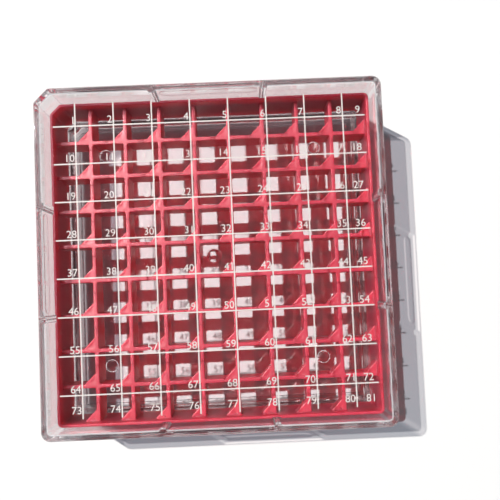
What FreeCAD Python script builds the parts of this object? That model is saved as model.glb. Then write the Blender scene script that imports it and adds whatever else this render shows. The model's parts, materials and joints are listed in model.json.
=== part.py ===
"""Cryogenic storage box for 81 vials: clear base tray, red divider insert, clear keyed lid.

Origin at the centre of the underside, +Z up, +Y towards the back row (numbers 1 to 9), millimetres.
The key corner, cut off at 45 degrees on all three mouldings, is at -X +Y.
The insert is one moulding, kept as a frame, row walls, column walls, gussets and beads,
so that each solid is convex or a plain ring and every vial cell stays open.
"""
import FreeCAD, Part
import Sketcher
import math
import os

CELLS_PER_SIDE = 9
WALLS_PER_WAY = CELLS_PER_SIDE - 1
SIDES = 4
MIRRORED_PAIR = (-1, 1)

# Sketcher's numbers for the sketch origin and for the ends of a line or an arc
ORIGIN = -1
START, END, CENTRE = 1, 2, 3

PARAMETERS = {
    # whole box
    "box_size": 133.0,
    "box_height": 52.0,
    "key_chamfer": 5.4,
    "corner_radius": 3.5,
    "least_radius": 0.8,
    # base tray
    "base_height": 24.0,
    "band_bottom": 12.0,
    "foot_size": 130.6,
    "foot_opening": 122.0,
    "floor_bottom": 1.0,
    "floor_top": 3.0,
    "ledge_height": 13.0,
    "cavity_size": 125.6,
    "socket_size": 128.4,
    # divider insert
    "insert_size": 128.0,
    "insert_inner": 125.6,
    "insert_top": 37.0,
    "wall_bottom": 18.0,
    "wall_top": 32.0,
    "cell_pitch": 14.0,
    "wall_thickness": 1.5,
    "gusset_leg": 4.4,
    "gusset_bottom": 26.0,
    "groove_width": 3.6,
    "groove_depth": 0.5,
    "groove_bottom": 22.0,
    "bead_length": 13.0,
    "bead_proud": 0.4,
    "bead_bottom": 29.6,
    "bead_top": 31.2,
    "bead_offset": 40.0,
    # lid
    "lid_inner": 129.4,
    "lid_ceiling": 50.4,
    "lid_edge_radius": 0.8,
    "panel_length": 43.0,
    "panel_depth": 0.6,
    "panel_top": 50.2,
    "bar_length": 38.5,
    "bar_height": 5.5,
    "bar_centre": 43.0,
    "guide_rib_width": 3.0,
    "guide_rib_depth": 0.9,
    "guide_rib_offset": 21.5,
    "mark_offset": 39.5,
    "mark_diameter": 4.7,
    "gate_diameter": 5.7,
    "mark_depth": 0.25,
    # printed grid on the lid
    "ink_thickness": 0.05,
    "line_width": 0.5,
    "line_length": 118.5,
    "line_pitch_across": 14.525,
    "line_pitch_back": 14.44,
    "print_shift_across": 0.2,
    "print_shift_back": 0.75,
}

doc = FreeCAD.newDocument("CryoBox")
sheet = doc.addObject("Spreadsheet::Sheet", "Params")
for row, (alias, value) in enumerate(PARAMETERS.items(), start=1):
    sheet.set("A%d" % row, alias)
    sheet.set("B%d" % row, str(value))
    sheet.setAlias("B%d" % row, alias)
doc.recompute()

sub_parts = []


def value(alias):
    """A driving dimension as the sheet holds it."""
    return float(sheet.get(alias))


def new_body(label):
    """An empty body for one sub-part."""
    body = doc.addObject("PartDesign::Body", label)
    body.Label = label
    sub_parts.append(body)
    return body


def plane_of(body, role):
    """One of the body's own origin planes, such as XY_Plane."""
    for feature in body.Origin.OriginFeatures:
        if feature.Role == role:
            return feature
    raise ValueError(role)


def new_sketch(body, name, role="XY_Plane", height=None):
    """A sketch on an origin plane, lifted along that plane's normal by an expression."""
    sketch = body.newObject("Sketcher::SketchObject", name)
    sketch.AttachmentSupport = (plane_of(body, role), [""])
    sketch.MapMode = "FlatFace"
    if height is not None:
        sketch.setExpression("AttachmentOffset.Base.z", height)
    return sketch


def constrain(sketch, name, expression, *arguments):
    """A named sketch dimension driven by the sheet."""
    index = sketch.addConstraint(Sketcher.Constraint(*arguments))
    sketch.renameConstraint(index, name)
    sketch.setExpression("Constraints." + name, expression)


def vector(x, y):
    return FreeCAD.Vector(x, y, 0)


def keyed_square(sketch, size_alias):
    """A square outline round the origin: one corner cut at 45 degrees, three rounded.

    The cut and the radius shrink with the size, so that nested outlines keep an even gap.
    """
    inset = "(Params.box_size - Params.%s) / 2" % size_alias
    half_text = "Params.%s / 2" % size_alias
    cut_text = "Params.key_chamfer - (2 - sqrt(2)) * %s" % inset
    radius_text = "max(Params.corner_radius - %s; Params.least_radius)" % inset
    half = value(size_alias) / 2
    depth = (value("box_size") - value(size_alias)) / 2
    cut = value("key_chamfer") - (2 - 2 ** 0.5) * depth
    radius = max(value("corner_radius") - depth, value("least_radius"))
    corners = [
        (vector(half - radius, -half + radius), -90),
        (vector(half - radius, half - radius), 0),
        (vector(-half + radius, -half + radius), 180),
    ]
    ends = [
        (vector(-half + radius, -half), vector(half - radius, -half)),
        (vector(half, -half + radius), vector(half, half - radius)),
        (vector(half - radius, half), vector(-half + cut, half)),
        (vector(-half + cut, half), vector(-half, half - cut)),
        (vector(-half, half - cut), vector(-half, -half + radius)),
    ]
    front, right, back, key, left = [
        sketch.addGeometry(Part.LineSegment(start, end), False) for start, end in ends
    ]
    arcs = []
    for centre, first_degree in corners:
        circle = Part.Circle(centre, FreeCAD.Vector(0, 0, 1), radius)
        first = math.radians(first_degree)
        arc = Part.ArcOfCircle(circle, first, first + math.pi / 2)
        arcs.append(sketch.addGeometry(arc, False))
    for joint in [
        (front, END, arcs[0], START),
        (arcs[0], END, right, START),
        (right, END, arcs[1], START),
        (arcs[1], END, back, START),
        (left, END, arcs[2], START),
        (arcs[2], END, front, START),
    ]:
        sketch.addConstraint(Sketcher.Constraint("Tangent", *joint))
    sketch.addConstraint(Sketcher.Constraint("Coincident", back, END, key, START))
    sketch.addConstraint(Sketcher.Constraint("Coincident", key, END, left, START))
    for line in (front, back):
        sketch.addConstraint(Sketcher.Constraint("Horizontal", line))
    for line in (right, left):
        sketch.addConstraint(Sketcher.Constraint("Vertical", line))
    centre = (ORIGIN, START)
    constrain(sketch, "front_edge", half_text, "DistanceY", front, START, *centre, half)
    constrain(sketch, "back_edge", half_text, "DistanceY", *centre, back, START, half)
    constrain(sketch, "left_edge", half_text, "DistanceX", left, START, *centre, half)
    constrain(sketch, "right_edge", half_text, "DistanceX", *centre, right, START, half)
    constrain(sketch, "key_across", cut_text, "DistanceX", key, END, key, START, cut)
    constrain(sketch, "key_back", cut_text, "DistanceY", key, END, key, START, cut)
    constrain(sketch, "first_radius", radius_text, "Radius", arcs[0], radius)
    for arc in arcs[1:]:
        sketch.addConstraint(Sketcher.Constraint("Equal", arcs[0], arc))


def keyed_sketch(body, name, size_alias, height):
    """A keyed square sketch, level, at the given height."""
    sketch = new_sketch(body, name, height=height)
    keyed_square(sketch, size_alias)
    return sketch


def rectangle(sketch, name, left, right, low, high):
    """An upright rectangle whose four sides are given by expressions over the sheet."""
    sides = {"left": left, "right": right, "low": low, "high": high}
    guess = {"left": 0.0, "right": 1.0, "low": 0.0, "high": 1.0}
    for side, text in sides.items():
        guess[side] = float(sheet.evalExpression(text.replace("Params.", "")))
    corners = [
        vector(guess["left"], guess["low"]),
        vector(guess["right"], guess["low"]),
        vector(guess["right"], guess["high"]),
        vector(guess["left"], guess["high"]),
    ]
    lines = []
    for index, start in enumerate(corners):
        end = corners[(index + 1) % len(corners)]
        lines.append(sketch.addGeometry(Part.LineSegment(start, end), False))
    for index, line in enumerate(lines):
        following = lines[(index + 1) % len(lines)]
        sketch.addConstraint(Sketcher.Constraint("Coincident", line, END, following, START))
        direction = "Horizontal" if index % 2 == 0 else "Vertical"
        sketch.addConstraint(Sketcher.Constraint(direction, line))
    signed = {"left": "DistanceX", "right": "DistanceX", "low": "DistanceY", "high": "DistanceY"}
    holders = {"left": lines[3], "right": lines[1], "low": lines[0], "high": lines[2]}
    for side, kind in signed.items():
        constrain(
            sketch, name + "_" + side, sides[side],
            kind, ORIGIN, START, holders[side], START, guess[side],
        )


def stadium(sketch, name, length, height, centre):
    """A long round-ended outline on the sketch's upright axis, centred at a height."""
    radius = value(height) / 2
    half = value(length) / 2 - radius
    middle = value(centre)
    low = sketch.addGeometry(
        Part.LineSegment(vector(-half, middle - radius), vector(half, middle - radius)), False
    )
    high = sketch.addGeometry(
        Part.LineSegment(vector(half, middle + radius), vector(-half, middle + radius)), False
    )
    ends = []
    for side, first in ((1, -math.pi / 2), (-1, math.pi / 2)):
        circle = Part.Circle(vector(side * half, middle), FreeCAD.Vector(0, 0, 1), radius)
        ends.append(sketch.addGeometry(Part.ArcOfCircle(circle, first, first + math.pi), False))
    right, left = ends
    for joint in [
        (low, END, right, START),
        (right, END, high, START),
        (high, END, left, START),
        (left, END, low, START),
    ]:
        sketch.addConstraint(Sketcher.Constraint("Tangent", *joint))
    sketch.addConstraint(Sketcher.Constraint("Horizontal", low))
    reach = "(Params.%s - Params.%s) / 2" % (length, height)
    constrain(sketch, name + "_radius", "Params.%s / 2" % height, "Radius", right, radius)
    for label, arc, sign in (("right", right, ""), ("left", left, "-")):
        signed_half = half if label == "right" else -half
        constrain(
            sketch, name + "_" + label, sign + reach,
            "DistanceX", ORIGIN, START, arc, CENTRE, signed_half,
        )
    constrain(
        sketch, name + "_centre", "Params." + centre,
        "DistanceY", ORIGIN, START, right, CENTRE, middle,
    )


def circle(sketch, name, across, back, diameter):
    """A circle at expressions over the sheet."""
    place = [float(sheet.evalExpression(text.replace("Params.", ""))) for text in (across, back)]
    radius = value(diameter) / 2
    ring = Part.Circle(vector(*place), FreeCAD.Vector(0, 0, 1), radius)
    index = sketch.addGeometry(ring, False)
    constrain(sketch, name + "_radius", "Params.%s / 2" % diameter, "Radius", index, radius)
    for kind, text, distance in (("DistanceX", across, place[0]), ("DistanceY", back, place[1])):
        label = name + "_" + kind[-1].lower()
        constrain(sketch, label, text, kind, ORIGIN, START, index, CENTRE, distance)


def pad(body, sketch, name, length):
    """Material from the sketch, along its normal."""
    feature = body.newObject("PartDesign::Pad", name)
    feature.Profile = sketch
    feature.setExpression("Length", length)
    doc.recompute()
    return feature


def cut(body, sketch, name, length, along_normal):
    """A pocket from the sketch, along its normal or against it, that must remove material."""
    before = body.Shape.Volume
    feature = body.newObject("PartDesign::Pocket", name)
    feature.Profile = sketch
    feature.setExpression("Length", length)
    feature.Reversed = along_normal
    doc.recompute()
    if body.Shape.Volume > before - 1e-3:
        raise RuntimeError("%s removes nothing" % name)
    return feature


def on_every_side(body, feature, name):
    """The feature repeated on the four walls, a quarter turn apart."""
    pattern = body.newObject("PartDesign::PolarPattern", name)
    pattern.Originals = [feature]
    pattern.Axis = (plane_of(body, "Z_Axis"), [""])
    pattern.Angle = 360
    pattern.Occurrences = SIDES
    body.Tip = pattern
    doc.recompute()
    return pattern


def new_box(name, **expressions):
    """A Part box whose sizes and place are expressions over the sheet."""
    box = doc.addObject("Part::Box", name)
    names = {"x": "Placement.Base.x", "y": "Placement.Base.y", "z": "Placement.Base.z"}
    for key, text in expressions.items():
        box.setExpression(names.get(key, key), text)
    return box


def new_group(label, members):
    """Separate solids of one moulding kept together as one sub-part."""
    group = doc.addObject("Part::Compound", label)
    group.Label = label
    group.Links = members
    sub_parts.append(group)
    return group


def row_line(row):
    """The middle of the wall in front of a row of cells, as an expression; rows count from the back."""
    return "(%s * Params.cell_pitch)" % (CELLS_PER_SIDE / 2 - row)


def column_line(column):
    """The middle of the wall to the right of a column of cells, as an expression."""
    return "(%s * Params.cell_pitch)" % (column - CELLS_PER_SIDE / 2)


def back_of_row(row):
    """The back end of a row of cells."""
    if row == 1:
        return "Params.insert_inner / 2"
    return row_line(row - 1) + " - Params.wall_thickness / 2"


def front_of_row(row):
    """The front end of a row of cells."""
    if row == CELLS_PER_SIDE:
        return "-Params.insert_inner / 2"
    return row_line(row) + " + Params.wall_thickness / 2"


def right_of_column(column):
    """The right end of a column of cells."""
    if column == CELLS_PER_SIDE:
        return "Params.insert_inner / 2"
    return column_line(column) + " - Params.wall_thickness / 2"


def build_base_tray():
    """Clear tray: stepped outer wall, a floor over a foot rim, a ledge that carries the insert."""
    body = new_body("base_tray")
    foot = keyed_sketch(body, "foot_outline", "foot_size", "0")
    pad(body, foot, "lower_body", "Params.band_bottom")
    band = keyed_sketch(body, "band_outline", "box_size", "Params.band_bottom")
    pad(body, band, "rim_band", "Params.base_height - Params.band_bottom")
    cavity = keyed_sketch(body, "cavity_outline", "cavity_size", "Params.floor_top")
    cut(body, cavity, "cavity", "Params.base_height - Params.floor_top", True)
    socket = keyed_sketch(body, "socket_outline", "socket_size", "Params.ledge_height")
    cut(body, socket, "insert_socket", "Params.base_height - Params.ledge_height", True)
    recess = keyed_sketch(body, "foot_recess_outline", "foot_opening", "0")
    cut(body, recess, "foot_recess", "Params.floor_bottom", True)


def build_insert_frame():
    """Outer wall of the red insert, with a groove for each of the lid's guide ribs."""
    body = new_body("insert_frame")
    outer = keyed_sketch(body, "frame_outline", "insert_size", "Params.ledge_height")
    pad(body, outer, "frame_block", "Params.insert_top - Params.ledge_height")
    inner = keyed_sketch(body, "frame_opening_outline", "insert_inner", "Params.ledge_height")
    cut(body, inner, "frame_opening", "Params.insert_top - Params.ledge_height", True)
    grooves = new_sketch(body, "groove_outlines", height="Params.groove_bottom")
    for side in MIRRORED_PAIR:
        middle = "%d * Params.guide_rib_offset" % side
        rectangle(
            grooves, "groove_" + ("left" if side < 0 else "right"),
            middle + " - Params.groove_width / 2",
            middle + " + Params.groove_width / 2",
            "-Params.insert_size / 2 - Params.groove_depth",
            "-Params.insert_size / 2 + Params.groove_depth",
        )
    depth = "Params.insert_top - Params.groove_bottom"
    first = cut(body, grooves, "front_grooves", depth, True)
    on_every_side(body, first, "guide_grooves")


def build_row_walls():
    """Eight walls across the whole insert."""
    for row in range(1, WALLS_PER_WAY + 1):
        wall = new_box(
            "row_wall_%d" % row,
            Length="Params.insert_inner",
            Width="Params.wall_thickness",
            Height="Params.wall_top - Params.wall_bottom",
            x="-Params.insert_inner / 2",
            y=row_line(row) + " - Params.wall_thickness / 2",
            z="Params.wall_bottom",
        )
        wall.Label = "row_wall_%d" % row
        sub_parts.append(wall)


def build_column_walls():
    """Eight walls from front to back, each in nine lengths between the row walls."""
    for column in range(1, WALLS_PER_WAY + 1):
        lengths = []
        for row in range(1, CELLS_PER_SIDE + 1):
            lengths.append(new_box(
                "column_%d_length_%d" % (column, row),
                Length="Params.wall_thickness",
                Width="(%s) - (%s)" % (back_of_row(row), front_of_row(row)),
                Height="Params.wall_top - Params.wall_bottom",
                x=column_line(column) + " - Params.wall_thickness / 2",
                y=front_of_row(row),
                z="Params.wall_bottom",
            ))
        new_group("column_wall_%d" % column, lengths)


def new_gusset(row, column):
    """A triangular web across the front right corner of one cell, flush with the wall tops."""
    gusset = doc.addObject("Part::Wedge", "gusset_%d_%d" % (row, column))
    zero_sides = ("Xmin", "Ymin", "Zmin", "Z2min")
    for side in zero_sides:
        setattr(gusset, side, 0)
    for side in ("Xmax", "X2max", "X2min", "Ymax"):
        gusset.setExpression(side, "Params.gusset_leg")
    for side in ("Zmax", "Z2max"):
        gusset.setExpression(side, "Params.wall_top - Params.gusset_bottom")
    gusset.setExpression("Placement.Base.x", right_of_column(column) + " - Params.gusset_leg")
    gusset.setExpression("Placement.Base.y", front_of_row(row))
    gusset.setExpression("Placement.Base.z", "Params.gusset_bottom")
    return gusset


def build_gussets():
    """One row of gussets per row of cells; the last cell has none."""
    for row in range(1, CELLS_PER_SIDE + 1):
        last = CELLS_PER_SIDE if row < CELLS_PER_SIDE else WALLS_PER_WAY
        members = [new_gusset(row, column) for column in range(1, last + 1)]
        new_group("gusset_row_%d" % row, members)


def build_friction_beads():
    """Two low beads on each outer side of the frame, which hold the lid by friction."""
    body = new_body("friction_beads")
    body.AllowCompound = True
    outlines = new_sketch(body, "bead_outlines", height="Params.bead_bottom")
    for side in MIRRORED_PAIR:
        middle = "%d * Params.bead_offset" % side
        rectangle(
            outlines, "bead_" + ("left" if side < 0 else "right"),
            middle + " - Params.bead_length / 2",
            middle + " + Params.bead_length / 2",
            "-Params.insert_size / 2 - Params.bead_proud",
            "-Params.insert_size / 2",
        )
    first = pad(body, outlines, "front_beads", "Params.bead_top - Params.bead_bottom")
    on_every_side(body, first, "beads")


def top_face(feature):
    """The name of the feature's highest level face."""
    faces = feature.Shape.Faces
    heights = [face.CenterOfMass.z for face in faces]
    return "Face%d" % (heights.index(max(heights)) + 1)


def add_guide_ribs(body):
    """Two upright ribs inside each wall, which run in the grooves of the insert's frame."""
    ribs = new_sketch(body, "rib_outlines", height="Params.base_height")
    for side in MIRRORED_PAIR:
        middle = "%d * Params.guide_rib_offset" % side
        rectangle(
            ribs, "rib_" + ("left" if side < 0 else "right"),
            middle + " - Params.guide_rib_width / 2",
            middle + " + Params.guide_rib_width / 2",
            "-Params.lid_inner / 2 - Params.guide_rib_depth",
            "-Params.lid_inner / 2 + Params.guide_rib_depth",
        )
    height = "Params.lid_ceiling - Params.base_height"
    first = pad(body, ribs, "front_ribs", height)
    on_every_side(body, first, "guide_ribs")


def add_side_panels(body):
    """A shallow recess in the middle of each wall, round a long bar left flush with the wall."""
    panel = new_sketch(body, "panel_outline", "XZ_Plane", "Params.box_size / 2")
    rectangle(
        panel, "panel", "-Params.panel_length / 2", "Params.panel_length / 2",
        "Params.base_height", "Params.panel_top",
    )
    stadium(panel, "bar", "bar_length", "bar_height", "bar_centre")
    first = cut(body, panel, "front_panel", "Params.panel_depth", False)
    on_every_side(body, first, "side_panels")


def add_moulding_marks(body):
    """Round marks left by the mould: four on the ceiling and one on the middle of the top."""
    marks = new_sketch(body, "ceiling_mark_outlines", height="Params.lid_ceiling")
    for across in MIRRORED_PAIR:
        for back in MIRRORED_PAIR:
            name = ("left" if across < 0 else "right") + ("_front" if back < 0 else "_back")
            circle(
                marks, name, "%d * Params.mark_offset" % across,
                "%d * Params.mark_offset" % back, "mark_diameter",
            )
    cut(body, marks, "ceiling_marks", "Params.mark_depth", True)
    gate = new_sketch(body, "gate_outline", height="Params.box_height - Params.ink_thickness")
    circle(gate, "gate", "0 * Params.mark_offset", "0 * Params.mark_offset", "gate_diameter")
    cut(body, gate, "gate_mark", "Params.mark_depth", False)


def build_lid():
    """Clear lid that stands on the base's rim and covers the upper half of the insert."""
    body = new_body("lid")
    outer = keyed_sketch(body, "lid_outline", "box_size", "Params.base_height")
    height = "Params.box_height - Params.ink_thickness - Params.base_height"
    block = pad(body, outer, "lid_block", height)
    edge = body.newObject("PartDesign::Fillet", "lid_top_edge")
    edge.Base = (block, [top_face(block)])
    edge.setExpression("Radius", "Params.lid_edge_radius")
    doc.recompute()
    inner = keyed_sketch(body, "lid_cavity_outline", "lid_inner", "Params.base_height")
    cut(body, inner, "lid_cavity", "Params.lid_ceiling - Params.base_height", True)
    add_guide_ribs(body)
    add_side_panels(body)
    add_moulding_marks(body)


def build_printed_grid():
    """White ink lines on top of the lid, eight each way, in one layer."""
    bars = []
    for index in range(1, WALLS_PER_WAY + 1):
        step = index - CELLS_PER_SIDE / 2
        shared = {"Height": "Params.ink_thickness", "z": "Params.box_height - Params.ink_thickness"}
        bars.append(new_box(
            "ink_line_back_%d" % index,
            Length="Params.line_width",
            Width="Params.line_length",
            x="%s * Params.line_pitch_across + Params.print_shift_across - Params.line_width / 2" % step,
            y="Params.print_shift_back - Params.line_length / 2",
            **shared,
        ))
        bars.append(new_box(
            "ink_line_across_%d" % index,
            Length="Params.line_length",
            Width="Params.line_width",
            x="Params.print_shift_across - Params.line_length / 2",
            y="%s * Params.line_pitch_back + Params.print_shift_back - Params.line_width / 2" % step,
            **shared,
        ))
    grid = doc.addObject("Part::MultiFuse", "printed_grid")
    grid.Label = "printed_grid"
    grid.Shapes = bars
    grid.Refine = True
    sub_parts.append(grid)


def check_document():
    """Stops at any object that failed, and at any sub-part without a sound shape."""
    for feature in doc.Objects:
        if "Invalid" in feature.State or "Error" in feature.State:
            raise RuntimeError("%s failed: %s" % (feature.Label, feature.State))
    for part in sub_parts:
        if part.Shape.isNull() or not part.Shape.isValid():
            raise RuntimeError("%s has no sound shape" % part.Label)


def export_parts():
    """One STEP file per sub-part, named by its label."""
    os.makedirs("parts", exist_ok=True)
    for part in sub_parts:
        part.Shape.exportStep("parts/%s.step" % part.Label)
        solids = len(part.Shape.Solids)
        print("%-18s %2d solids %10.1f mm3" % (part.Label, solids, part.Shape.Volume))


build_base_tray()
build_insert_frame()
build_row_walls()
build_column_walls()
build_gussets()
build_friction_beads()
build_lid()
build_printed_grid()
doc.recompute()
check_document()
export_parts()
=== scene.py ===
"""Looks of a clear cryogenic storage box with a red divider insert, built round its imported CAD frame.

Lengths are in metres in the CAD frame: origin under the middle of the box, +Z up, +Y to the back.
"""
import json
import logging
import math
from dataclasses import dataclass, field
from enum import Enum
from typing import Callable, Iterable, Sequence

import bmesh
import bpy
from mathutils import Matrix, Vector

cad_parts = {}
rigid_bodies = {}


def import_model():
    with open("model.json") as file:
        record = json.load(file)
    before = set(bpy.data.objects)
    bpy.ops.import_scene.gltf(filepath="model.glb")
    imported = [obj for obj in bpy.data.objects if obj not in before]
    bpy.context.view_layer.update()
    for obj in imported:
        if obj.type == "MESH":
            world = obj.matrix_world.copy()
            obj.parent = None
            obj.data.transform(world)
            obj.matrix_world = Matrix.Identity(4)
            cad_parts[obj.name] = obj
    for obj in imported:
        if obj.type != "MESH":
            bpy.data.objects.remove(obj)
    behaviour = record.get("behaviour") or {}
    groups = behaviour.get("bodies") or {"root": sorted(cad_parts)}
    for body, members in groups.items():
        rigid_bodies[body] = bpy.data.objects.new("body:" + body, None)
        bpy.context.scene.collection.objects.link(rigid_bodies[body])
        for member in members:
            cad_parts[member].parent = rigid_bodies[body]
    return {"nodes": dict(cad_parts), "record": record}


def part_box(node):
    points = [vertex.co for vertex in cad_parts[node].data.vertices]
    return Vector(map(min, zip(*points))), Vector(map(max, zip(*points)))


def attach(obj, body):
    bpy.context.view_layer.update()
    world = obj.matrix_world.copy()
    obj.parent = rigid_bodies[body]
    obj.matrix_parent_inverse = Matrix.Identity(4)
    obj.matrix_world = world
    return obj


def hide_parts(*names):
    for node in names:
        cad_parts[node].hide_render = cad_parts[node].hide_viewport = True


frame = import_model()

LOG = logging.getLogger("cryo_box")

MM = 0.001
CELLS_PER_SIDE = 9
SMOOTH_ANGLE = math.radians(32)
FLAT_FACE_WEIGHT = 90
CORNER_POINTS = 5
ROUND_STEPS = 40

Point = tuple[float, float]
Ring = list[tuple[float, float, float]]


class Slot(Enum):
    """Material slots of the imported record."""

    CLEAR = "clear_polycarbonate"
    RED = "red_polycarbonate"
    INK = "white_ink"


class Body(Enum):
    """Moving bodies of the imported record."""

    BASE = "base"
    INSERT = "insert"
    LID = "lid"


# ---------------------------------------------------------------- mesh helpers


@dataclass(frozen=True)
class Station:
    """One point of an outline: its place, the way out of the wall, and where it is along a side."""

    place: Point
    outward: Point
    along: float
    straight: bool


@dataclass(frozen=True)
class KeyedOutline:
    """A square outline, one corner cut at 45 degrees and three rounded, that can shrink evenly.

    Args:
        half: half the outer size.
        key: length of the cut corner's legs.
        radius: radius of the other corners.
        least_radius: the smallest corner radius of any outline inside this one.
        arc_steps: segments in each rounded corner.
    """

    half: float
    key: float
    radius: float
    least_radius: float = 0.8 * MM
    arc_steps: int = 6

    def stations(self, half: float, marks: Sequence[float]) -> list[Station]:
        """Points of the outline at a smaller half size, counter-clockwise from the front left.

        Args:
            half: half the size of the wanted outline.
            marks: places along each side, from its middle, that get a point of their own.

        Returns:
            The stations, the same number for every half size.
        """
        inset = self.half - half
        radius = max(self.radius - inset, self.least_radius)
        key = self.key - (2 - math.sqrt(2)) * inset
        found: list[Station] = []
        for quarter in range(4):
            turn = quarter * math.pi / 2
            found += [self._turned((mark, -half), (0, -1), turn, mark, True) for mark in sorted(marks)]
            if quarter == 2:
                found += self._key_corner(half, key, turn)
            else:
                found += self._round_corner(half, radius, turn)
        return found

    @staticmethod
    def _turned(place: Point, outward: Point, turn: float, along: float, straight: bool) -> Station:
        """A station turned about the vertical axis.

        Args:
            place: its place before the turn.
            outward: its way out of the wall before the turn.
            turn: the angle in radians.
            along: where it is along its side.
            straight: whether it lies on a straight side.

        Returns:
            The station.
        """
        c, s = math.cos(turn), math.sin(turn)
        turned = [(c * x - s * y, s * x + c * y) for x, y in (place, outward)]
        return Station(turned[0], turned[1], along, straight)

    def _round_corner(self, half: float, radius: float, turn: float) -> list[Station]:
        """Stations of the rounded corner to the right of a side.

        Args:
            half: half the size of the outline.
            radius: the corner's radius.
            turn: the side's turn in radians.

        Returns:
            The stations.
        """
        centre = half - radius
        found = []
        for step in range(self.arc_steps + 1):
            angle = -math.pi / 2 + math.pi / 2 * step / self.arc_steps
            out = (math.cos(angle), math.sin(angle))
            place = (centre + radius * out[0], -centre + radius * out[1])
            found.append(self._turned(place, out, turn, 0.0, False))
        return found

    def _key_corner(self, half: float, key: float, turn: float) -> list[Station]:
        """Stations of the cut corner, with its two edges slightly softened.

        Args:
            half: half the size of the outline.
            key: length of the cut corner's legs.
            turn: the side's turn in radians.

        Returns:
            The stations, the same number for every half size.
        """
        soft = min(self.least_radius, key / 4)
        run = soft * math.sqrt(0.5)
        sag = run * 0.2
        rows = [
            ((half - key - soft, -half), -90.0),
            ((half - key, -half + sag), -67.5),
            ((half - key + run, -half + run), -45.0),
            ((half - key / 2, -half + key / 2), -45.0),
            ((half - run, -half + key - run), -45.0),
            ((half - sag, -half + key), -22.5),
            ((half, -half + key + soft), 0.0),
        ]
        found = []
        for place, degrees in rows:
            angle = math.radians(degrees)
            out = (math.cos(angle), math.sin(angle))
            found.append(self._turned(place, out, turn, 0.0, False))
        return found


@dataclass(frozen=True)
class Corner:
    """A corner of a wall's cross-section: half size of the outline, height, and rounding."""

    half: float
    height: float
    rounding: float = 0.0


def rounded_profile(corners: Sequence[Corner], closed: bool, steps: int = 4) -> list[Point]:
    """A cross-section with its corners rounded.

    Args:
        corners: the corners in order, outwards side on the right of the way.
        closed: whether the last corner joins the first.
        steps: segments in each rounding.

    Returns:
        Points (half size, height).
    """
    places = [Vector((c.half, c.height)) for c in corners]
    path: list[Point] = []
    count = len(corners)
    for index, corner in enumerate(corners):
        here = places[index]
        at_end = not closed and index in (0, count - 1)
        if corner.rounding <= 0 or at_end:
            path.append((here.x, here.y))
            continue
        back = (places[index - 1] - here).normalized()
        ahead = (places[(index + 1) % count] - here).normalized()
        reach = corner.rounding / math.tan(back.angle(ahead) / 2)
        first, last = here + back * reach, here + ahead * reach
        centre = here + (back + ahead).normalized() * (corner.rounding / math.sin(back.angle(ahead) / 2))
        for step in range(steps + 1):
            part = step / steps
            chord = first.lerp(last, part) - centre
            spot = centre + chord.normalized() * corner.rounding
            path.append((spot.x, spot.y))
    return path


Shift = Callable[[Station, float, float], float]


@dataclass
class RingMesh:
    """A skin through a stack of rings that all have the same number of points."""

    rings: list[Ring] = field(default_factory=list)

    def sweep(
        self, outline: KeyedOutline, profile: Iterable[Point], marks: Sequence[float], shift: Shift
    ) -> "RingMesh":
        """Rings of a cross-section carried round a keyed outline.

        Args:
            outline: the outer outline.
            profile: points (half size, height) of the cross-section.
            marks: places along each side with a point of their own.
            shift: how far a point moves out of the wall, from its station, half size and height.

        Returns:
            This mesh, for chaining.
        """
        for half, height in profile:
            ring: Ring = []
            for station in outline.stations(half, marks):
                out = shift(station, half, height)
                x = station.place[0] + station.outward[0] * out
                y = station.place[1] + station.outward[1] * out
                ring.append((x, y, height))
            self.rings.append(ring)
        return self

    def to_bmesh(self, closed: bool, caps: bool) -> bmesh.types.BMesh:
        """Faces between the rings.

        Args:
            closed: whether the last ring joins the first, as round a hollow frame.
            caps: whether the first and last rings are filled.

        Returns:
            A new bmesh, whose normals mesh_object turns outward.
        """
        bm = bmesh.new()
        rows = [[bm.verts.new(p) for p in ring] for ring in self.rings]
        pairs = list(zip(rows, rows[1:]))
        if closed:
            pairs.append((rows[-1], rows[0]))
        for low, high in pairs:
            for index, corner in enumerate(low):
                following = (index + 1) % len(low)
                bm.faces.new((corner, low[following], high[following], high[index]))
        if caps:
            bm.faces.new(list(reversed(rows[0])))
            bm.faces.new(rows[-1])
        return bm


def mesh_object(name: str, bm: bmesh.types.BMesh, outward: bool = True) -> bpy.types.Object:
    """Links a bmesh as an object at the origin and frees it.

    Args:
        name: the object's name.
        bm: its mesh.
        outward: whether normals are made to point outward.

    Returns:
        The new object.
    """
    if outward:
        bmesh.ops.recalc_face_normals(bm, faces=bm.faces)
    mesh = bpy.data.meshes.new(name)
    bm.to_mesh(mesh)
    bm.free()
    made = bpy.data.objects.new(name, mesh)
    bpy.context.scene.collection.objects.link(made)
    return made


def apply_modifiers(obj: bpy.types.Object) -> None:
    """Turns an object's modifiers into plain mesh.

    Args:
        obj: the object, which keeps no modifier.
    """
    bpy.context.view_layer.update()
    graph = bpy.context.evaluated_depsgraph_get()
    result = bpy.data.meshes.new_from_object(obj.evaluated_get(graph), depsgraph=graph)
    obj.modifiers.clear()
    obj.data = result


def smooth(obj: bpy.types.Object) -> None:
    """Smooth shading that keeps sharp edges, with large faces left truly flat.

    Args:
        obj: the piece, whose mesh is replaced.
    """
    for polygon in obj.data.polygons:
        polygon.use_smooth = True
    obj.data.set_sharp_from_angle(angle=SMOOTH_ANGLE)
    flatter = obj.modifiers.new("flatter", "WEIGHTED_NORMAL")
    flatter.keep_sharp = True
    flatter.weight = FLAT_FACE_WEIGHT
    apply_modifiers(obj)


def combine(target: bpy.types.Object, tools: Sequence[bpy.types.Object], operation: str) -> None:
    """Applies boolean tools to a mesh and removes the tools.

    Args:
        target: the mesh that is changed.
        tools: closed meshes.
        operation: UNION or DIFFERENCE.
    """
    for tool in tools:
        modifier = target.modifiers.new("combine", "BOOLEAN")
        modifier.operation = operation
        modifier.solver = "EXACT"
        modifier.object = tool
    apply_modifiers(target)
    for tool in tools:
        bpy.data.objects.remove(tool)


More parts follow.
